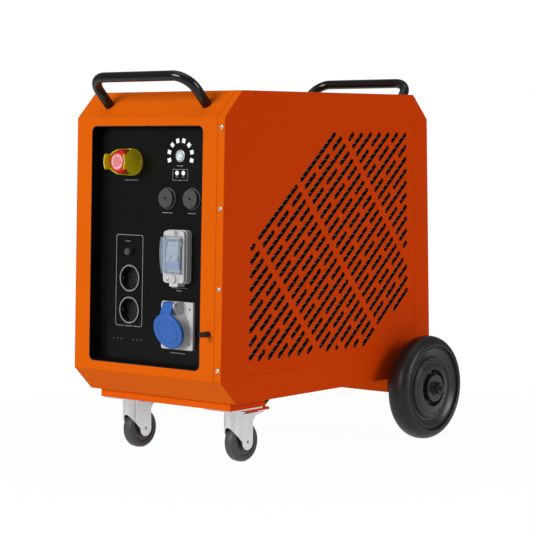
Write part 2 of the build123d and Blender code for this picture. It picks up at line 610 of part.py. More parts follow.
def breaker_window():
    """Clear bowed cover, hinged at its top edge."""
    half = WINDOW_HALF_W
    outer = extrude(Plane.YZ.offset(-half) * window_arc(0), amount=2 * half)
    inner = extrude(Plane.YZ.offset(-half + WINDOW_T) * window_arc(WINDOW_T), amount=2 * (half - WINDOW_T))
    shell = outer - inner
    lug_up = (WINDOW_Z[1] - WINDOW_T - 1, WINDOW_Z[1] + 1)
    lug_out = (BREAKER_FACE - 1, WINDOW_HINGE[1] + LUG_R + 0.5)
    for side in (-1, 1):
        x = sorted((side * (half - WINDOW_T), side * half))
        shell -= block(sorted((side * (LUG_X[0] - 0.5), side * (half - WINDOW_T))), lug_up, lug_out)
        shell -= x_rod(WINDOW_PIN_R + RUN_GAP, x[0] - 0.5, x[1] + 0.5, *WINDOW_HINGE)
    return at_panel(BREAKER) * shell


MODULE_X = (-18.0, 18.0)


def breaker_module():
    body = block(MODULE_X, (-30.0, 29.0), (3.0, 18.0))
    nose = block(MODULE_X, (-24.0, 20.0), (17.9, 21.6))
    drum = x_rod(TOGGLE_DRUM_R + 0.3, MODULE_X[0] + 2, MODULE_X[1] - 2, *TOGGLE_AXIS)
    pole_gap = block((-0.4, 0.4), (-31, 30), (16.5, 32))
    bearing = x_rod(1.6, MODULE_X[0] + 1, MODULE_X[1] - 1, *TOGGLE_AXIS)
    return at_panel(BREAKER) * (body + nose - pole_gap - drum + bearing)


def breaker_toggle():
    """Two tied toggle levers on one drum, leaning up in the on position."""
    up, out = TOGGLE_AXIS
    drum = x_rod(TOGGLE_DRUM_R, MODULE_X[0] + 2.3, MODULE_X[1] - 2.3, up, out)
    levers = []
    for x in (-9.0, 9.0):
        head = block((x - 5.2, x + 5.2), (-4.8, 4.8), (TOGGLE_HEAD_R, TOGGLE_TIP_R))
        head = fillet(head.edges().filter_by(Axis.Z), 2.0)
        levers.append(head + block((x - 3, x + 3), (-2.4, 2.4), (2.0, TOGGLE_HEAD_R + 0.1)))
    levers.append(block((-5, 5), (-1.4, 1.4), (TOGGLE_HEAD_R + 0.4, TOGGLE_TIP_R - 0.8)))
    levers = [Pos(0, up, out) * Rot(-TOGGLE_TILT, 0, 0) * lever for lever in levers]
    bore = x_rod(1.6 + RUN_GAP, MODULE_X[0], MODULE_X[1], up, out)
    return at_panel(BREAKER) * (drum + levers - bore)


def breaker_latch_knob():
    knob = disc(KNOB_R, BREAKER_FACE + 1.1, BREAKER_FACE + 5.0)
    knob = fillet(knob.edges().sort_by(Axis.Z)[-1], 1.0)
    grip = Pos(0, 0, BREAKER_FACE + 5.0) * Box(2.0, 11.0, 2.0)
    shaft = disc(KNOB_SHAFT_R, BREAKER_FACE - 7, BREAKER_FACE + 2)
    return at_panel(BREAKER) * Pos(*KNOB_PLACE, 0) * (knob + shaft - grip)


# ---------------------------------------------------------------- industrial outlet with a lid
CEE_W, CEE_H, CEE_T = 83.0, 93.5, 6.5
LID_R, LID_T, LID_TILT = 36.4, 6.5, 18.2
LID_CENTRE = (-10.3, 33.2)         # up, out of the lid's outer face, from the flange's middle
COLLAR_R, COLLAR_BORE_R = 32.0, 27.0
CEE_HINGE = (42.0, 28.0)           # up, out
HINGE_R, CEE_PIN_R, STRAP_HALF_W = 5.2, 2.0, 13.0
LID_FRAME = Pos(0, *LID_CENTRE) * Rot(LID_TILT, 0, 0)
CEE_BODY_DEPTH, CARRIER_FACE = 62.0, 24.0
FLANGE_SCREWS = [(x, y) for x in (-33.0, 33.0) for y in (-34.0, 33.0)]
FLANGE_HOLE_R = 2.7


def cee_flange():
    """Square flange with a tilted collar and the two hinge cheeks."""
    plate = rounded_plate(CEE_W, CEE_H, 4, 0, CEE_T)
    plate = fillet(plate.edges().group_by(Axis.Z)[-1], 1.8)
    collar = LID_FRAME * disc(COLLAR_R, -CEE_BODY_DEPTH, -LID_T - 0.3)
    front_room = block((-36, 36), (-60, 60), (CEE_T - 1, 80))
    behind = block((-35, 35), (-41, 41), (-45, 0.5))
    shape = plate + (collar & front_room) + (collar & behind)
    cheek_side = [(22, 6), (22, 22), (36, 33.5), (43, 33.5), (47, 29), (47, 6)]
    for side in (-1, 1):
        x = sorted((side * (STRAP_HALF_W + 0.4), side * (STRAP_HALF_W + 3.6)))
        shape += yz_prism(cheek_side, x[0], x[1])
    shape -= LID_FRAME * disc(COLLAR_BORE_R, -CEE_BODY_DEPTH + 4, 0)
    shape -= x_rod(CEE_PIN_R, -30, 30, *CEE_HINGE)
    shape -= joined(Pos(x, y, 0) * disc(FLANGE_HOLE_R, -1, 20) for x, y in FLANGE_SCREWS)
    return at_panel(CEE) * shape


def cee_contact_carrier():
    """Round contact block inside the collar with three contact holes."""
    shape = LID_FRAME * disc(COLLAR_BORE_R - 0.05, -CEE_BODY_DEPTH + 12, -CARRIER_FACE)
    shape &= block((-36, 36), (-41, 41), (-45, 40))
    for turn in (90, 210, 330):
        hole = Rot(0, 0, turn) * Pos(14.5, 0, 0) * disc(3.6, -CARRIER_FACE - 22, 0)
        shape -= LID_FRAME * hole
    return at_panel(CEE) * shape


def cee_lid():
    """Round sprung lid with its strap and hinge barrel."""
    cap = disc(LID_R, -LID_T, 0)
    cap = fillet(cap.edges().sort_by(Axis.Z)[-1], 2.4)
    cap -= ring(25.2, 24.0, -0.8, 1) + ring(33.2, 32.8, -0.4, 1)
    cap -= disc(COLLAR_BORE_R + 1.5, -LID_T - 1, -LID_T + 2.5)
    strap_side = [(47, 29), (46.4, 32.5), (26.0, 40.2), (21.0, 39.5), (21.0, 36.0), (38, 28)]
    strap = yz_prism(strap_side, -STRAP_HALF_W, STRAP_HALF_W)
    barrel = x_rod(HINGE_R, -STRAP_HALF_W, STRAP_HALF_W, *CEE_HINGE)
    collar = LID_FRAME * disc(COLLAR_R + 0.4, -60, -LID_T)
    shape = LID_FRAME * cap + (strap - collar) + barrel
    return at_panel(CEE) * (shape - x_rod(CEE_PIN_R + RUN_GAP, -20, 20, *CEE_HINGE))


def cee_lid_pin():
    return at_panel(CEE) * x_rod(CEE_PIN_R, -STRAP_HALF_W - 3.6, STRAP_HALF_W + 3.6, *CEE_HINGE)


def flange_screws():
    """Sunk screws of the outlet flange and of the breaker enclosure's top."""
    top = CEE_T - 3.0
    screw = disc(FLANGE_HOLE_R, -1.0, top) - Pos(0, 0, top) * Box(3.8, 0.8, 1.4)
    outlet = [at_panel(CEE) * Pos(x, y, 0) * screw for x, y in FLANGE_SCREWS]
    head = disc(4.4, BREAKER_FACE - 2.5, BREAKER_FACE - 1.2)
    head -= Pos(0, 0, BREAKER_FACE - 1.2) * Box(6.4, 0.9, 1.2)
    return joined(outlet + [at_panel(BREAKER) * Pos(7, 46, 0) * head])


# ---------------------------------------------------------------- earth post on the front face
POST_R, POST_L, POST_BORE_R, POST_BORE_L = 5.5, 23.1, 2.0, 14.0


def earth_terminal():
    post = disc(POST_R, 0, POST_L)
    post = fillet(post.edges().sort_by(Axis.Z)[-1], 1.0)
    post += disc(4.0, -14, 0.1)
    return at_front(EARTH_POST) * (post - disc(POST_BORE_R, POST_L - POST_BORE_L, POST_L + 1))


# ================================================================ handles
def front_handle():
    """Bent tube with both feet square on the chamfer."""
    reach, half = HANDLE_REACH, HANDLE_HALF_W
    corners = [(-half, 0, 0), (-half, 0, reach), (half, 0, reach), (half, 0, 0)]
    path = FilletPolyline(*corners, radius=HANDLE_BEND)
    tube = sweep(Plane(origin=path @ 0, z_dir=path % 0) * Circle(HANDLE_R), path=path)
    bores = [Pos(x, 0, 0) * disc(HANDLE_BOLT_R, -1, HANDLE_BOLT_DEPTH) for x in (-half, half)]
    return CHAMFER.location * (tube - bores)


def handle_bolts():
    """Hexagon bolts that hold the handle feet from inside the cabinet."""
    head = Pos(0, 0, -SHEET - 5.5) * extrude(RegularPolygon(7.0, 6), amount=5.5)
    bolt = head + disc(HANDLE_BOLT_R, -SHEET, HANDLE_BOLT_DEPTH - 1)
    pair = joined(CHAMFER.location * Pos(x, 0, 0) * bolt for x in (-HANDLE_HALF_W, HANDLE_HALF_W))
    return joined([pair, half_turn(pair)])


# ================================================================ front casters
def caster_channel():
    """Folded channel across the underside that carries the two casters."""
    y0, y1 = CHANNEL_Y
    x = (-CHANNEL_HALF_W, CHANNEL_HALF_W)
    shape = block(x, CHANNEL_Y, (CHANNEL_Z, BASE_Z))
    hollow = block((x[0] + CHANNEL_T, x[1] - CHANNEL_T), (y0 + CHANNEL_T, y1 - CHANNEL_T),
                   (CHANNEL_Z + CHANNEL_T, BASE_Z + 1))
    return shape - hollow


def channel_braces():
    """Small steel struts behind the channel's ends, up to the base pan."""
    side = [(-186.0, 110.0), (-186.0, 114.5), (-172.0, 126.0), (-165.0, 126.0)]
    brace = yz_prism(side, 161.0, 172.0)
    return joined([brace, mirrored(brace)])


def caster_pad():
    """Orange spacer plate between the caster plate and the swivel head."""
    pad = block((CASTER_X - 35, CASTER_X + 35.5), PAD_Y, PAD_Z)
    return pad - Pos(CASTER_X, KINGPIN_Y, 0) * disc(RACEWAY_R + 0.3, 90, 120)


def caster_plate():
    """Zinc top plate with its raceway and the riveted kingpin."""
    width, depth, thick = CASTER_PLATE
    plate = Pos(CASTER_X, CASTER_PLATE_Y, CHANNEL_Z - thick) * extrude(
        RectangleRounded(width, depth, 4), amount=thick)
    pin = Pos(CASTER_X, KINGPIN_Y, 0)
    raceway = pin * disc(RACEWAY_R, FORK_TOP + 0.3, CHANNEL_Z - thick + 0.1)
    kingpin = pin * disc(KINGPIN_R, FORK_TOP - FORK_T - 0.3, CHANNEL_Z - thick + 0.1)
    head = pin * disc(KINGPIN_R + 3.5, FORK_TOP - FORK_T - 3.3, FORK_TOP - FORK_T - 0.3)
    return plate + raceway + kingpin + head


def fork_outline(grow=0.0):
    """Fork from above: a half-round nose ahead of two parallel legs."""
    radius = FORK_R + grow
    length = FORK_REAR_Y + grow - KINGPIN_Y
    legs = Pos(0, KINGPIN_Y + length / 2) * Rectangle(2 * radius, length)
    return Pos(0, KINGPIN_Y) * Circle(radius) + legs


def fork_side():
    """Fork from the side in (y, z): sloping nose edge, round boss, and a wing at the top rear."""
    boss_y, boss_z, boss = CASTER_AXLE_Y, CASTER_R, FORK_BOSS_R
    lower = ThreePointArc((boss_y - boss, boss_z + 1), (boss_y, boss_z - boss), (boss_y + boss, boss_z))
    wing = ThreePointArc((boss_y + boss, 78.0), (boss_y + boss + 6.5, 87.5), (FORK_REAR_Y - 12, 92.0))
    front_y = KINGPIN_Y - FORK_R - 0.2
    rest = [(FORK_REAR_Y, 94.5), (FORK_REAR_Y, FORK_WING_TOP), (FORK_WEB_REAR_Y, FORK_WING_TOP),
            (FORK_WEB_REAR_Y, FORK_TOP), (front_y, FORK_TOP), (front_y, 76.5), (-256.8, 71.0),
            (-249.6, 58.0), (-238.6, 47.0), lower @ 0]
    return make_face([lower, Line(lower @ 1, wing @ 0), wing, Polyline(wing @ 1, *rest)])


def caster_fork():
    """Pressed swivel fork, open at the rear and below."""
    plan = extrude(Pos(0, 0, 10) * fork_outline(), amount=FORK_TOP - 10)
    inside = FORK_R - FORK_T
    room = extrude(fork_outline(-FORK_T), amount=FORK_TOP - FORK_T)
    room += block((-inside, inside), (FORK_REAR_Y - 10, FORK_REAR_Y + 10), (0, FORK_TOP - FORK_T))
    side = extrude(Plane.YZ.offset(-40) * fork_side(), amount=80)
    fork = (plan & side) - room
    fork -= Pos(0, KINGPIN_Y, 0) * disc(KINGPIN_R + RUN_GAP, 0, 120)
    fork -= x_rod(CASTER_AXLE_R, -40, 40, CASTER_AXLE_Y, CASTER_R)
    return Pos(CASTER_X, 0, 0) * fork


def caster_axle():
    half = FORK_R + 0.6
    tube = x_rod(CASTER_AXLE_R, -half, half, CASTER_AXLE_Y, CASTER_R)
    return Pos(CASTER_X, 0, 0) * (tube - x_rod(2.4, -half - 1, half + 1, CASTER_AXLE_Y, CASTER_R))


def caster_wheel():
    """Moulded wheel with a crowned tread, a side step and a hub boss."""
    half, bore = CASTER_HALF_W, CASTER_AXLE_R + RUN_GAP
    profile = [(0, bore), (half + 1.9, bore), (half + 1.9, 10), (9.5, 11.5), (8.5, 14), (8.5, 26),
               (half - 1.2, 28.5), (half - 1.2, 31), (half, 32), (half, 34.5), (half - 2.2, 37.6), (7, 39.4),
               (0, CASTER_R)]
    wheel = turned(profile + [(-x, r) for x, r in reversed(profile[1:-1])])
    return Pos(CASTER_X, CASTER_AXLE_Y, CASTER_R) * wheel


# ================================================================ rear axle and wheels
def rear_axle_bracket():
    """Box-section cross member under the rear that carries the axle."""
    x = (-BRACKET_HALF_W, BRACKET_HALF_W)
    shape = block(x, BRACKET_Y, (BRACKET_Z, BASE_Z))
    t = BRACKET_T
    hollow = block((x[0] + t, x[1] - t), (BRACKET_Y[0] + t, BRACKET_Y[1] - t), (BRACKET_Z + t, BASE_Z + 1))
    return shape - hollow - x_rod(AXLE_R, -400, 400, WHEEL_Y, WHEEL_R)


def rear_axle():
    """Through axle with spacer collars inboard of the wheels and reduced ends."""
    shaft = x_rod(AXLE_R, -WHEEL_X - 27.8, WHEEL_X + 27.8, WHEEL_Y, WHEEL_R)
    shaft += x_rod(5.0, -AXLE_TIP_X, AXLE_TIP_X, WHEEL_Y, WHEEL_R)
    for side in (-1, 1):
        x = sorted((side * (BRACKET_HALF_W + 0.1), side * (WHEEL_X - 27.6)))
        shaft += x_rod(13.0, x[0], x[1], WHEEL_Y, WHEEL_R)
    return shaft


def axle_nuts():
    """Washer and hexagon nut at each end of the axle."""
    end = WHEEL_X + 27.8
    nut = Pos(end + 1.6, 0, 0) * Rot(0, 90, 0) * extrude(RegularPolygon(12.5, 6), amount=12)
    right = x_rod(15.0, end, end + 1.6, 0, 0) + nut - x_rod(5.0, end - 1, end + 20, 0, 0)
    right = Pos(0, WHEEL_Y, WHEEL_R) * right
    return joined([right, mirrored(right)])


def tyre():
    """Solid tyre: rounded tread and sidewalls that stand proud of the bead on each side."""
    half = TYRE_HALF_W
    tread = Spline((half, 91.0), (half - 1.7, 98.4), (half - 10.0, 105.8), (0, WHEEL_R),
                   (-half + 10.0, 105.8), (-half + 1.7, 98.4), (-half, 91.0))
    bead = [(BEAD_X, RIM_R), (BEAD_X, 86.6), (BEAD_X + 1.0, 87.8), (half - 1.2, 88.8), (half, 91.0)]
    sides = Polyline(*[(-x, radius) for x, radius in reversed(bead)], *bead)
    return Pos(WHEEL_X, WHEEL_Y, WHEEL_R) * revolve(make_face([tread, sides]), Axis.X)


def hub():
    """Dished plastic hub with ring grooves, a ribbed annular recess and a raised boss."""
    outer = [(17.0, RIM_R), (19.4, 83.6), (19.6, 82.0), (18.4, 79.6), (15.2, 74.5), (13.3, 69.0),
             (13.4, 65.4), (18.4, 63.4), (18.8, 62.4), (17.2, 62.0), (17.2, 60.4), (18.8, 60.0),
             (20.0, 56.2), (18.4, 55.8), (18.4, 53.8), (20.4, 53.4), (22.4, 45.0), (22.9, 39.5),
             (10.0, 38.5), (10.0, 29.0),
             (27.0, 28.5), (27.4, 27.5), (27.4, 16.0), (25.0, 15.4), (25.0, 13.6), (27.4, 13.2),
             (27.4, AXLE_R + RUN_GAP)]
    web = turned(outer + [(-x, r) for x, r in reversed(outer)])
    ribs = [Rot(i * 60, 0, 0) * block((-14.0, 14.0), (28.0, 39.5), (-2.0, 2.0)) for i in range(6)]
    return Pos(WHEEL_X, WHEEL_Y, WHEEL_R) * (web + ribs)


# ================================================================ all the nodes
def nodes():
    """Every node of the power station, by name."""
    cover, screen, tread, rim = right_side_cover(), louvre_screen(), tyre(), hub()
    fork, axle, roller = caster_fork(), caster_axle(), caster_wheel()
    plate, pad, handle = caster_plate(), caster_pad(), front_handle()
    made = {
        "front_shell": front_shell(), "rear_shell": rear_shell(),
        "top_cover": middle_skin(600, 800), "base_pan": middle_skin(0, 200),
        "right_side_cover": cover, "left_side_cover": half_turn(cover),
        "right_louvre_screen": screen, "left_louvre_screen": half_turn(screen),
        "side_cover_screws": side_cover_screws(),
        "inner_frame": inner_frame(), "battery_pack": battery_pack(), "inverter_module": inverter_module(),
        "fan_housing": fan_housing(), "fan_rotor": fan_rotor(),
        "panel_tray": panel_tray(), "control_panel": control_panel(), "panel_markings": panel_markings(),
        "front_handle": handle, "rear_handle": half_turn(handle), "handle_bolts": handle_bolts(),
        "estop_guard": estop_guard(), "estop_stem": estop_stem(), "estop_button": estop_button(),
        "power_button_bezel": power_button_bezel(), "power_button": power_button(),
        "indicator_lights": indicator_lights(), "outlet_button": outlet_button(),
        "socket_earth_clips": socket_earth_clips(),
        "breaker_box": breaker_box(), "breaker_window": breaker_window(), "breaker_module": breaker_module(),
        "breaker_toggle": breaker_toggle(), "breaker_latch_knob": breaker_latch_knob(),
        "cee_flange": cee_flange(), "cee_contact_carrier": cee_contact_carrier(),
        "cee_lid": cee_lid(), "cee_lid_pin": cee_lid_pin(), "flange_screws": flange_screws(),
        "earth_terminal": earth_terminal(),
        "caster_channel": caster_channel() + [pad, mirrored(pad)], "channel_braces": channel_braces(),
        "right_caster_plate": plate, "left_caster_plate": mirrored(plate),
        "right_caster_fork": fork, "left_caster_fork": mirrored(fork),
        "right_caster_axle": axle, "left_caster_axle": mirrored(axle),
        "right_caster_wheel": roller, "left_caster_wheel": mirrored(roller),
        "rear_axle_bracket": rear_axle_bracket(), "rear_axle": rear_axle(), "axle_nuts": axle_nuts(),
        "right_tyre": tread, "left_tyre": mirrored(tread), "right_hub": rim, "left_hub": mirrored(rim),
    }
    made.update({name: input_connector(place) for name, place in INPUTS.items()})
    made.update({name: mains_socket(place) for name, place in SOCKETS.items()})
    return made


os.makedirs("parts", exist_ok=True)
for node_name, node_shape in nodes().items():
    export_step(node_shape, f"parts/{node_name}.step")
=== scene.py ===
"""Looks of the portable power station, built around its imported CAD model.

Metres, +Z up, panel facing -Y.
"""

import json
from math import cos, pi, radians, sin, tau

import bmesh
import bpy
from mathutils import Matrix, Vector


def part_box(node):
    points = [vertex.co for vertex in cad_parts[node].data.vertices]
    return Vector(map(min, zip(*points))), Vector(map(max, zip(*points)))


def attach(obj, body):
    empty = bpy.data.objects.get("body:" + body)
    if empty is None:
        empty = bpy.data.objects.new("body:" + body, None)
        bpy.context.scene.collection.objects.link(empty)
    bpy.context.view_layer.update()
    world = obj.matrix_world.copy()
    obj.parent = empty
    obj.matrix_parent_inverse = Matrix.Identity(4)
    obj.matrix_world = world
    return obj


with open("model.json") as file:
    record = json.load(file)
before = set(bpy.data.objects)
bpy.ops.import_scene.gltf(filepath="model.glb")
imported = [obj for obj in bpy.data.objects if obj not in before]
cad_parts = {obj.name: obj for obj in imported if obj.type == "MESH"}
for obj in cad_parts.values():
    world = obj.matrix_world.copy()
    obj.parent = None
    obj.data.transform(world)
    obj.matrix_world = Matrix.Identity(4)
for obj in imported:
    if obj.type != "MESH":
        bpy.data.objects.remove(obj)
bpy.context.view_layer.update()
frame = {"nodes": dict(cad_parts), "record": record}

MM = 0.001

# ---------------------------------------------------------------- camera and light
CAMERA_AT = Vector((2.520, -3.0125, 0.6415))
CAMERA_LOOK = Vector((-0.6367, 0.7680, -0.0698))
CAMERA_LENS = 127.2
FLOOR_RADIUS = 40.0
WORLD_LIGHT = 0.22
FLOOR_LEAST_GLOW = 0.97                      # share of backdrop white under the object
FLOOR_FADE = (0.5, 1.2)                      # radii between which the floor turns into the white backdrop
FLOOR_BOUNCE, BOUNCE_FADE = 0.75, (1.6, 3.2)  # light the floor gives off, and the radii where it dims

# name, where it stands, what it points at, width, height, watts, colour
SOFTBOXES = (
    ("key_box", (-0.9, -4.8, 2.2), (0, -0.2, 0.35), 2.4, 2.2, 190.0, (1.0, 0.99, 0.97)),
    ("top_box", (0.2, -0.2, 3.6), (0, 0, 0.4), 3.0, 3.0, 22.0, (1.0, 0.99, 0.98)),
    ("side_box", (4.4, 0.9, 1.7), (0, 0, 0.35), 2.2, 2.4, 86.0, (1.0, 0.98, 0.97)),
)


# ================================================================ shader helpers
def add(tree, kind, inputs=None, **settings):
    """A shader node with its settings, and its inputs set or linked."""
    node = tree.nodes.new(kind)
    for name, value in settings.items():
        setattr(node, name, value)
    for name, value in (inputs or {}).items():
        if isinstance(value, bpy.types.NodeSocket):
            tree.links.new(value, node.inputs[name])
        else:
            node.inputs[name].default_value = value
    return node


def material(name):
    """A new material's tree, shader and object coordinates."""
    made = bpy.data.materials.new(name)
    made.use_nodes = True
    tree = made.node_tree
    coords = add(tree, "ShaderNodeTexCoord").outputs["Object"]
    return made, tree, tree.nodes["Principled BSDF"], coords


def noise(tree, coords, scale, stretch=None, detail=3.0):
    """Noise with a scale in cells per metre, stretched along the axes if asked."""
    if stretch:
        coords = add(tree, "ShaderNodeMapping", {"Vector": coords, "Scale": stretch}).outputs[0]
    return add(tree, "ShaderNodeTexNoise",
               {"Vector": coords, "Scale": scale, "Detail": detail}).outputs["Fac"]


def spread(tree, value, low, high, start=0.3, end=0.7):
    """Value remapped from start..end to low..high."""
    return add(tree, "ShaderNodeMapRange", {"Value": value, "From Min": start, "From Max": end,
                                            "To Min": low, "To Max": high}).outputs[0]


def blend_colour(tree, share, first, second):
    """First where the share is 0, second where it is 1."""
    mix = add(tree, "ShaderNodeMix", data_type="RGBA")
    for socket, value in ((mix.inputs[0], share), (mix.inputs[6], first), (mix.inputs[7], second)):
        if isinstance(value, bpy.types.NodeSocket):
            tree.links.new(value, socket)
        else:
            socket.default_value = value if isinstance(value, float) else (*value, 1.0)
    return mix.outputs[2]


def edge_share(tree, radius):
    """0 on flat faces, rising to 1 on sharp edges, with the softened normal."""
    soft = add(tree, "ShaderNodeBevel", {"Radius": radius}, samples=6).outputs[0]
    flat = add(tree, "ShaderNodeNewGeometry").outputs["Normal"]
    dot = add(tree, "ShaderNodeVectorMath", {0: soft, 1: flat}, operation="DOT_PRODUCT").outputs["Value"]
    return spread(tree, dot, 1.0, 0.0, 0.72, 0.99), soft


def object_coordinates(tree):
    """The object coordinates that a material's tree already has."""
    return next(node for node in tree.nodes if node.bl_idname == "ShaderNodeTexCoord").outputs["Object"]


def shade(colour, factor):
    """Colour made lighter or darker."""
    return tuple(channel * factor for channel in colour)


def side_shade_share(tree, coords_node):
    """Share of painted side shade: 1 where the surface faces left or right, 0 where it faces any other way.
    """
    across = add(tree, "ShaderNodeSeparateXYZ", {0: coords_node.outputs["Normal"]}).outputs["X"]
    sideways = add(tree, "ShaderNodeMath", {0: across}, operation="ABSOLUTE").outputs[0]
    return spread(tree, sideways, 0.0, 1.0, 0.3, 0.9)


def surface(name, colour, rough, grain, bump, *, variation=0.06, patch=7.0, painted_edge_light=None, edge_mm=1.2,
            stretch=None, painted_side_shade=None, **constants):
    """A finish with patchy colour, uneven roughness, fine grain and softened edges.

    grain is in cells per metre and bump is its height in metres.  The edge colour is a painted highlight on
    edges (painted shade on the paints' folds), and the sides colour is painted shade on the faces that look
    left or right.
    """
    made, tree, shader, coords = material(name)
    patches = noise(tree, coords, patch, detail=4.0)
    fine = noise(tree, coords, grain, stretch)
    hue = blend_colour(tree, spread(tree, patches, 0.0, 1.0), shade(colour, 1 - variation),
                       shade(colour, 1 + variation))
    speck = spread(tree, fine, 0.0, 1.0, 0.35, 0.75)
    faint = add(tree, "ShaderNodeMath", {0: speck, 1: 0.35}, operation="MULTIPLY").outputs[0]
    hue = blend_colour(tree, faint, hue, shade(colour, 1 - 2 * variation))
    # Painted side shade: faces that look left or right take a darker, redder colour.
    if painted_side_shade:
        hue = blend_colour(tree, side_shade_share(tree, coords.node), hue, painted_side_shade)
    # Painted edge light: edges take the edge colour, a painted highlight, or painted shade on the paints'
    # folds.
    painted_edge_mask, soft = edge_share(tree, edge_mm * MM)
    if painted_edge_light:
        hue = blend_colour(tree, painted_edge_mask, hue, painted_edge_light)
    tree.links.new(hue, shader.inputs["Base Color"])
    both = add(tree, "ShaderNodeMath", {0: patches, 1: fine}, operation="ADD").outputs[0]
    tree.links.new(spread(tree, both, rough[0], rough[1], 0.7, 1.3), shader.inputs["Roughness"])
    relief = add(tree, "ShaderNodeBump",
                 {"Height": fine, "Normal": soft, "Strength": 1.0, "Distance": bump})
    tree.links.new(relief.outputs[0], shader.inputs["Normal"])
    for socket, value in constants.items():
        shader.inputs[socket.replace("_", " ")].default_value = value
    return made


# ================================================================ finishes
def painted(name, colour, painted_edge_light, painted_side_shade, rough=(0.50, 0.60)):
    """Satin powder coat with a fine orange peel, with painted shade: redder where it faces the sides, and
    on its folds.
    """
    return surface(name, colour, rough, 650.0, 0.00003, variation=0.03, painted_edge_light=painted_edge_light, edge_mm=1.6, painted_side_shade=painted_side_shade,
                   Specular_IOR_Level=0.02)


def metal(name, colour, rough, stretch=None, grain=900.0, painted_edge_light=None):
    return surface(name, colour, rough, grain, 0.00002, variation=0.08, patch=30.0, painted_edge_light=painted_edge_light, edge_mm=0.8,
                   stretch=stretch, Metallic=1.0)


def plastic(name, colour, rough, grain=1400.0, bump=0.00003, painted_edge_light=None, **constants):
    return surface(name, colour, rough, grain, bump, variation=0.05, patch=22.0, painted_edge_light=painted_edge_light, edge_mm=0.8,
                   **constants)


def glowing(name, colour, strength):
    """Diffusing lamp lens that gives off a little light of its own."""
    made = plastic(name, colour, (0.25, 0.4), Emission_Strength=strength)
    made.node_tree.nodes["Principled BSDF"].inputs["Emission Color"].default_value = (*colour, 1.0)
    return made


def clear(name, colour, alpha):
    """Clear moulding, slightly tinted."""
    return plastic(name, colour, (0.06, 0.14), grain=300.0, bump=0.00001, Alpha=alpha)


def louvred(name, colour, rib_highlight):
    """Matt black screen with a painted highlight on its ribs, the part nearest the slots."""
    made = surface(name, colour, (0.6, 0.75), 700.0, 0.00004, variation=0.15, Specular_IOR_Level=0.15)
    tree = made.node_tree
    shader = tree.nodes["Principled BSDF"]
    coords = object_coordinates(tree)
    across = add(tree, "ShaderNodeSeparateXYZ", {0: coords}).outputs["X"]
    distance = add(tree, "ShaderNodeMath", {0: across}, operation="ABSOLUTE").outputs[0]
    hue = shader.inputs["Base Color"].links[0].from_socket
    # Painted highlight: lighter toward the screen's face, where the ribs stand.
    rib_highlight_share = spread(tree, distance, 0.0, 1.0, *RIB_HIGHLIGHT_SPAN)
    tree.links.new(blend_colour(tree, rib_highlight_share, hue, rib_highlight), shader.inputs["Base Color"])
    return made


SCREEN_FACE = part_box("right_louvre_screen")[1][0]
RIB_HIGHLIGHT_SPAN = (SCREEN_FACE - 0.0016, SCREEN_FACE - 0.0004)    # depths between which a rib's painted highlight comes in

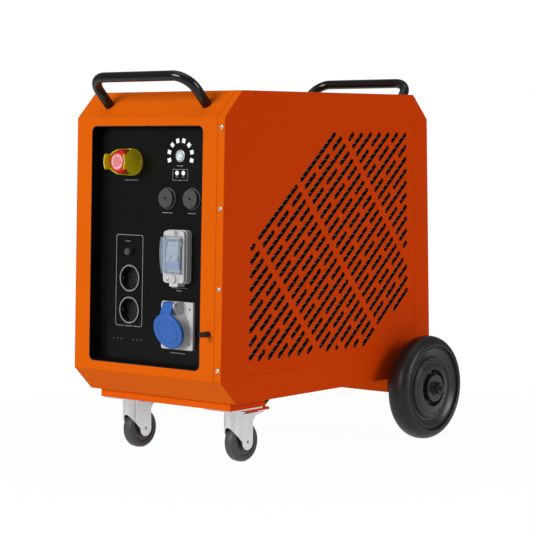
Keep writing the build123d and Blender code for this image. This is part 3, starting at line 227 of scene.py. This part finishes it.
# A finish's edge colour is a painted highlight on its edges; on the two paints it is painted shade on the
# folds.
FINISHES = {
    # Each paint: its colour, then painted shade for its folds, then painted shade for the faces that look
    # left or right.
    "orange_paint": painted("orange_powder_coat", (0.70, 0.113, 0.002), (0.58, 0.060, 0.002),
                            (0.58, 0.046, 0.001)),
    "bracket_paint": painted("bracket_powder_coat", (0.72, 0.100, 0.002), (0.56, 0.055, 0.002),
                             (0.60, 0.045, 0.002)),
    "zinc": metal("bright_zinc", (0.84, 0.84, 0.86), (0.22, 0.32), stretch=(1, 1, 6), grain=260.0),
    "dark_steel": metal("dark_steel", (0.07, 0.07, 0.075), (0.35, 0.5)),
    "handle_black": surface("handle_gloss_black", (0.004, 0.004, 0.004), (0.16, 0.22), 500.0, 0.00002,
                            variation=0.1, painted_edge_light=(0.02, 0.02, 0.02), Specular_IOR_Level=0.45),
    # Its second colour is the painted highlight on the ribs.
    "screen_black": louvred("screen_matt_black", (0.004, 0.004, 0.005), (0.085, 0.100, 0.110)),
    "tray_black": surface("tray_matt_black", (0.003, 0.003, 0.004), (0.5, 0.65), 700.0, 0.00003,
                          variation=0.15, painted_edge_light=(0.030, 0.040, 0.055), Specular_IOR_Level=0.15),
    "panel_black": plastic("panel_satin_black", (0.0020, 0.0020, 0.0023), (0.26, 0.34),
                           painted_edge_light=(0.03, 0.035, 0.045), Specular_IOR_Level=0.20),
    "print_white": plastic("print_white", (0.27, 0.27, 0.28), (0.5, 0.6), Specular_IOR_Level=0.2),
    "lamp_white": glowing("lamp_white", (0.80, 0.83, 0.86), 0.22),
    "bezel_metal": metal("satin_aluminium", (0.80, 0.72, 0.74), (0.25, 0.35)),
    "guard_yellow": plastic("guard_yellow", (0.74, 0.60, 0.006), (0.32, 0.42), painted_edge_light=(0.86, 0.80, 0.02),
                            Specular_IOR_Level=0.3),
    "estop_red": plastic("stop_red", (0.66, 0.004, 0.010), (0.28, 0.38), painted_edge_light=(0.80, 0.03, 0.04),
                         Specular_IOR_Level=0.35),
    "stem_grey": plastic("stem_grey", (0.10, 0.10, 0.10), (0.4, 0.5)),
    "device_grey": plastic("connector_grey", (0.060, 0.060, 0.062), (0.42, 0.52), painted_edge_light=(0.16, 0.16, 0.16),
                           Specular_IOR_Level=0.3),
    "socket_black": plastic("socket_black", (0.008, 0.008, 0.008), (0.38, 0.48), painted_edge_light=(0.17, 0.17, 0.17),
                            Specular_IOR_Level=0.3),
    "contact_brass": metal("contact_metal", (0.62, 0.56, 0.42), (0.25, 0.35)),
    "enclosure_grey": plastic("enclosure_grey", (0.58, 0.565, 0.57), (0.42, 0.52), painted_edge_light=(0.74, 0.72, 0.72),
                              Specular_IOR_Level=0.3),
    "window_clear": clear("window_clear", (0.45, 0.56, 0.70), 0.26),
    "breaker_white": plastic("breaker_white", (0.50, 0.54, 0.58), (0.38, 0.48), painted_edge_light=(0.78, 0.80, 0.82)),
    "outlet_blue": plastic("outlet_blue", (0.022, 0.118, 0.44), (0.30, 0.40), painted_edge_light=(0.07, 0.20, 0.56),
                           Specular_IOR_Level=0.35),
    "caster_grey": plastic("caster_grey", (0.048, 0.048, 0.050), (0.34, 0.46), painted_edge_light=(0.12, 0.12, 0.12)),
    "tyre_black": surface("tyre_rubber", (0.008, 0.008, 0.008), (0.34, 0.46), 420.0, 0.00006, variation=0.2,
                          patch=16.0, painted_edge_light=(0.018, 0.018, 0.018), Specular_IOR_Level=0.4),
    "hub_grey": plastic("hub_grey", (0.018, 0.018, 0.019), (0.24, 0.34), painted_edge_light=(0.22, 0.22, 0.22)),
    "battery_case": plastic("battery_case", (0.03, 0.03, 0.034), (0.5, 0.6)),
    "inverter_case": metal("inverter_case", (0.30, 0.30, 0.32), (0.4, 0.5)),
}
# The edge colours below are painted edge highlights too.
STOP_FACE = plastic("stop_face_pink", (0.74, 0.20, 0.22), (0.35, 0.45), painted_edge_light=(0.75, 0.3, 0.3))
ARROW_WHITE = plastic("arrow_white", (0.80, 0.74, 0.74), (0.4, 0.5))
KEY_RING_CYAN = glowing("key_ring_cyan", (0.10, 0.50, 0.62), 0.10)
RING_GREY = plastic("ring_light_grey", (0.24, 0.24, 0.245), (0.4, 0.5), painted_edge_light=(0.4, 0.4, 0.4))
MODULE_BLUE = plastic("module_blue", (0.15, 0.27, 0.58), (0.35, 0.45), painted_edge_light=(0.4, 0.5, 0.75))


def dress_cad_nodes():
    """Every CAD node takes the finish of its slot in the record."""
    for part in frame["record"]["subparts"]:
        holder = frame["nodes"][part["node"]]
        for place in holder.material_slots:
            place.link = "OBJECT"
            place.material = FINISHES[part["material_slot"]]


# ================================================================ pieces on the panel
JOINTS = {joint["name"]: joint for joint in frame["record"]["behaviour"]["joints"]}
OUTWARD = -Vector(JOINTS["power_press"]["axis"])


def panel_place(point, out=0.0, up=0.0):
    """Frame at a point, moved by millimetres: X to the right, Y up the panel, Z out of it."""
    right = Vector((1, 0, 0))
    upward = OUTWARD.cross(right)
    turn = Matrix((right, upward, OUTWARD)).transposed().to_4x4()
    return Matrix.Translation(Vector(point) + OUTWARD * out * MM + upward * up * MM) @ turn


def middle_of(node):
    low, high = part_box(node)
    return (Vector(low) + Vector(high)) / 2


def finished(name, mesh, place, body, finish):
    """Object from a bmesh in millimetres, bevelled, that rides on a body."""
    bmesh.ops.recalc_face_normals(mesh, faces=mesh.faces)
    data = bpy.data.meshes.new(name)
    mesh.transform(place @ Matrix.Diagonal((MM, MM, MM, 1)))
    mesh.to_mesh(data)
    mesh.free()
    for face in data.polygons:
        face.use_smooth = True
    piece = bpy.data.objects.new(name, data)
    bpy.context.scene.collection.objects.link(piece)
    data.materials.append(finish)
    bevel = piece.modifiers.new("soft_edges", "BEVEL")
    bevel.width, bevel.segments, bevel.limit_method = 0.15 * MM, 2, "ANGLE"
    bevel.harden_normals = True
    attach(piece, body)
    return piece


def ring_sector(mesh, inner, outer, low, high, start=0.0, sweep=tau, steps=72):
    """Flat ring, or part of one, between two heights."""
    closed = sweep >= tau
    corners = []
    for i in range(steps if closed else steps + 1):
        angle = start + sweep * i / steps
        corners.append([mesh.verts.new((radius * cos(angle), radius * sin(angle), height))
                        for radius, height in ((inner, low), (outer, low), (outer, high), (inner, high))])
    for i in range(len(corners) if closed else len(corners) - 1):
        here, there = corners[i], corners[(i + 1) % len(corners)]
        for k in range(4):
            mesh.faces.new((here[k], here[(k + 1) % 4], there[(k + 1) % 4], there[k]))
    if not closed:
        mesh.faces.new(corners[0])
        mesh.faces.new(corners[-1][::-1])


def prism(mesh, outline, low, high):
    """Upright prism over a flat outline."""
    rows = [[mesh.verts.new((x, y, z)) for x, y in outline] for z in (low, high)]
    mesh.faces.new(rows[0][::-1])
    mesh.faces.new(rows[1])
    for k in range(len(outline)):
        after = (k + 1) % len(outline)
        mesh.faces.new((rows[0][k], rows[0][after], rows[1][after], rows[1][k]))


STOP_FACE_R, STOP_FACE_OUT = 16.2, 7.15      # out from the twist joint's point
ARROW_COUNT, ARROW_R, ARROW_W = 3, 12.6, 1.8
ARROW_SWEEP, ARROW_TIP = radians(78), radians(26)
ARROW_LOW, ARROW_HIGH = 0.30, 0.60


def stop_button_face():
    """Pink disc on the stop button's head, with its ring of turning arrows."""
    place = panel_place(JOINTS["estop_twist"]["pos_m"], out=STOP_FACE_OUT)
    mesh = bmesh.new()
    ring_sector(mesh, 0.4, STOP_FACE_R, 0.0, 0.35)
    finished("stop_button_face", mesh, place, "estop_head", STOP_FACE)
    mesh = bmesh.new()
    for i in range(ARROW_COUNT):
        start = tau * i / ARROW_COUNT
        end = start + ARROW_SWEEP
        ring_sector(mesh, ARROW_R - ARROW_W / 2, ARROW_R + ARROW_W / 2, ARROW_LOW, ARROW_HIGH, start,
                    end - start, 18)
        tip = end + ARROW_TIP
        prism(mesh, [((ARROW_R - ARROW_W) * cos(end), (ARROW_R - ARROW_W) * sin(end)),
                     ((ARROW_R + ARROW_W) * cos(end), (ARROW_R + ARROW_W) * sin(end)),
                     (ARROW_R * cos(tip), ARROW_R * sin(tip))], ARROW_LOW, ARROW_HIGH)
    finished("stop_button_arrows", mesh, place, "estop_head", ARROW_WHITE)


KEY_FACE_OUT = 7.3                           # from the middle of the power key to its face
KEY_RING = (4.3, 6.6)                        # inner and outer radius of its lit ring


def power_key_ring():
    """Lit ring on the power key's face."""
    place = panel_place(middle_of("power_button"), out=KEY_FACE_OUT)
    mesh = bmesh.new()
    ring_sector(mesh, *KEY_RING, -0.05, 0.25)
    finished("power_key_ring", mesh, place, "power_key", KEY_RING_CYAN)


BLUE_OUT, BLUE_UP = 1.1, -12.6               # from the toggle joint's point
BLUE_INNER, BLUE_OUTER, BLUE_HALF_H = 0.9, 17.6, 6.2


def breaker_blue_zone():
    """Printed blue lower half of the breaker's nose, one block for each pole."""
    place = panel_place(JOINTS["toggle_throw"]["pos_m"], out=BLUE_OUT, up=BLUE_UP)
    mesh = bmesh.new()
    for side in (-1, 1):
        low, high = sorted((side * BLUE_INNER, side * BLUE_OUTER))
        prism(mesh, [(low, -BLUE_HALF_H), (high, -BLUE_HALF_H), (high, BLUE_HALF_H), (low, BLUE_HALF_H)],
              -0.1, 0.25)
    finished("breaker_blue_zone", mesh, place, "cabinet", MODULE_BLUE)


SOCKET_RING = (24.2, 26.6)                   # inner and outer radius of a mains socket's light ring


def face_middle(node):
    """Middle of the face of a node that stands furthest out of the panel."""
    points = [vertex.co.copy() for vertex in frame["nodes"][node].data.vertices]
    furthest = max(point.dot(OUTWARD) for point in points)
    rim = [point for point in points if point.dot(OUTWARD) > furthest - 0.1 * MM]
    return Vector([(min(point[k] for point in rim) + max(point[k] for point in rim)) / 2 for k in range(3)])


def socket_rings():
    """Light-grey ring lying on each mains socket's face."""
    for node in ("upper_mains_socket", "lower_mains_socket"):
        mesh = bmesh.new()
        ring_sector(mesh, *SOCKET_RING, -0.1, 0.25)
        finished(f"{node}_ring", mesh, panel_place(face_middle(node)), "cabinet", RING_GREY)


# ================================================================ studio
def white_to_the_eye(tree, as_light=WORLD_LIGHT):
    """Strength that is full for what the camera sees and dim as a light."""
    seen = add(tree, "ShaderNodeLightPath").outputs["Is Camera Ray"]
    return spread(tree, seen, as_light, 1.0, 0.0, 1.0)


def floor_finish():
    """Pale floor that fades into the white backdrop away from the object."""
    made = surface("floor_pale", (0.90, 0.90, 0.90), (0.75, 0.9), 40.0, 0.00005, variation=0.01,
                   Specular_IOR_Level=0.1)
    tree = made.node_tree
    shader = tree.nodes["Principled BSDF"]
    coords = object_coordinates(tree)
    radius = add(tree, "ShaderNodeVectorMath", {0: coords}, operation="LENGTH").outputs["Value"]
    bounce = spread(tree, radius, FLOOR_BOUNCE, WORLD_LIGHT, *BOUNCE_FADE)
    glow = add(tree, "ShaderNodeEmission",
               {"Color": (1.0, 1.0, 1.0, 1.0), "Strength": white_to_the_eye(tree, bounce)})
    mix = add(tree, "ShaderNodeMixShader",
              {"Fac": spread(tree, radius, FLOOR_LEAST_GLOW, 1.0, *FLOOR_FADE)})
    tree.links.new(shader.outputs[0], mix.inputs[1])
    tree.links.new(glow.outputs[0], mix.inputs[2])
    tree.links.new(mix.outputs[0], tree.nodes["Material Output"].inputs["Surface"])
    return made


def studio_floor():
    """Round floor, far larger than the view."""
    steps = 96
    corners = [(FLOOR_RADIUS * cos(tau * i / steps), FLOOR_RADIUS * sin(tau * i / steps), 0.0)
               for i in range(steps)]
    mesh = bpy.data.meshes.new("studio_floor")
    mesh.from_pydata(corners, [], [tuple(range(steps))])
    floor = bpy.data.objects.new("studio_floor", mesh)
    bpy.context.scene.collection.objects.link(floor)
    mesh.materials.append(floor_finish())


def aim(holder, at, target):
    """Stand a light or camera at a point, looking at another."""
    direction = Vector(target) - Vector(at)
    holder.matrix_world = Matrix.Translation(at) @ direction.to_track_quat("-Z", "Y").to_matrix().to_4x4()


def studio_lights():
    """The soft boxes."""
    for name, at, target, width, height, watts, colour in SOFTBOXES:
        light = bpy.data.lights.new(name, "AREA")
        light.shape, light.size, light.size_y = "RECTANGLE", width, height
        light.energy, light.color = watts, colour
        holder = bpy.data.objects.new(name, light)
        bpy.context.scene.collection.objects.link(holder)
        aim(holder, at, target)


def studio_world():
    """White to the eye, dimmer as a light."""
    world = bpy.data.worlds.new("studio_world")
    world.use_nodes = True
    tree = world.node_tree
    background = tree.nodes["Background"]
    background.inputs["Color"].default_value = (1.0, 1.0, 1.0, 1.0)
    tree.links.new(white_to_the_eye(tree), background.inputs["Strength"])
    bpy.context.scene.world = world
    bpy.context.scene.view_settings.view_transform = "Standard"


def studio_camera():
    """Camera at the view's place, angle and focal length."""
    camera = bpy.data.objects.new("photo_camera", bpy.data.cameras.new("photo_camera"))
    bpy.context.scene.collection.objects.link(camera)
    camera.data.lens = CAMERA_LENS
    camera.data.sensor_width = 36.0
    camera.data.clip_end = 100.0
    aim(camera, CAMERA_AT, CAMERA_AT + CAMERA_LOOK)
    bpy.context.scene.camera = camera


dress_cad_nodes()
stop_button_face()
power_key_ring()
breaker_blue_zone()
socket_rings()
studio_floor()
studio_lights()
studio_world()
studio_camera()
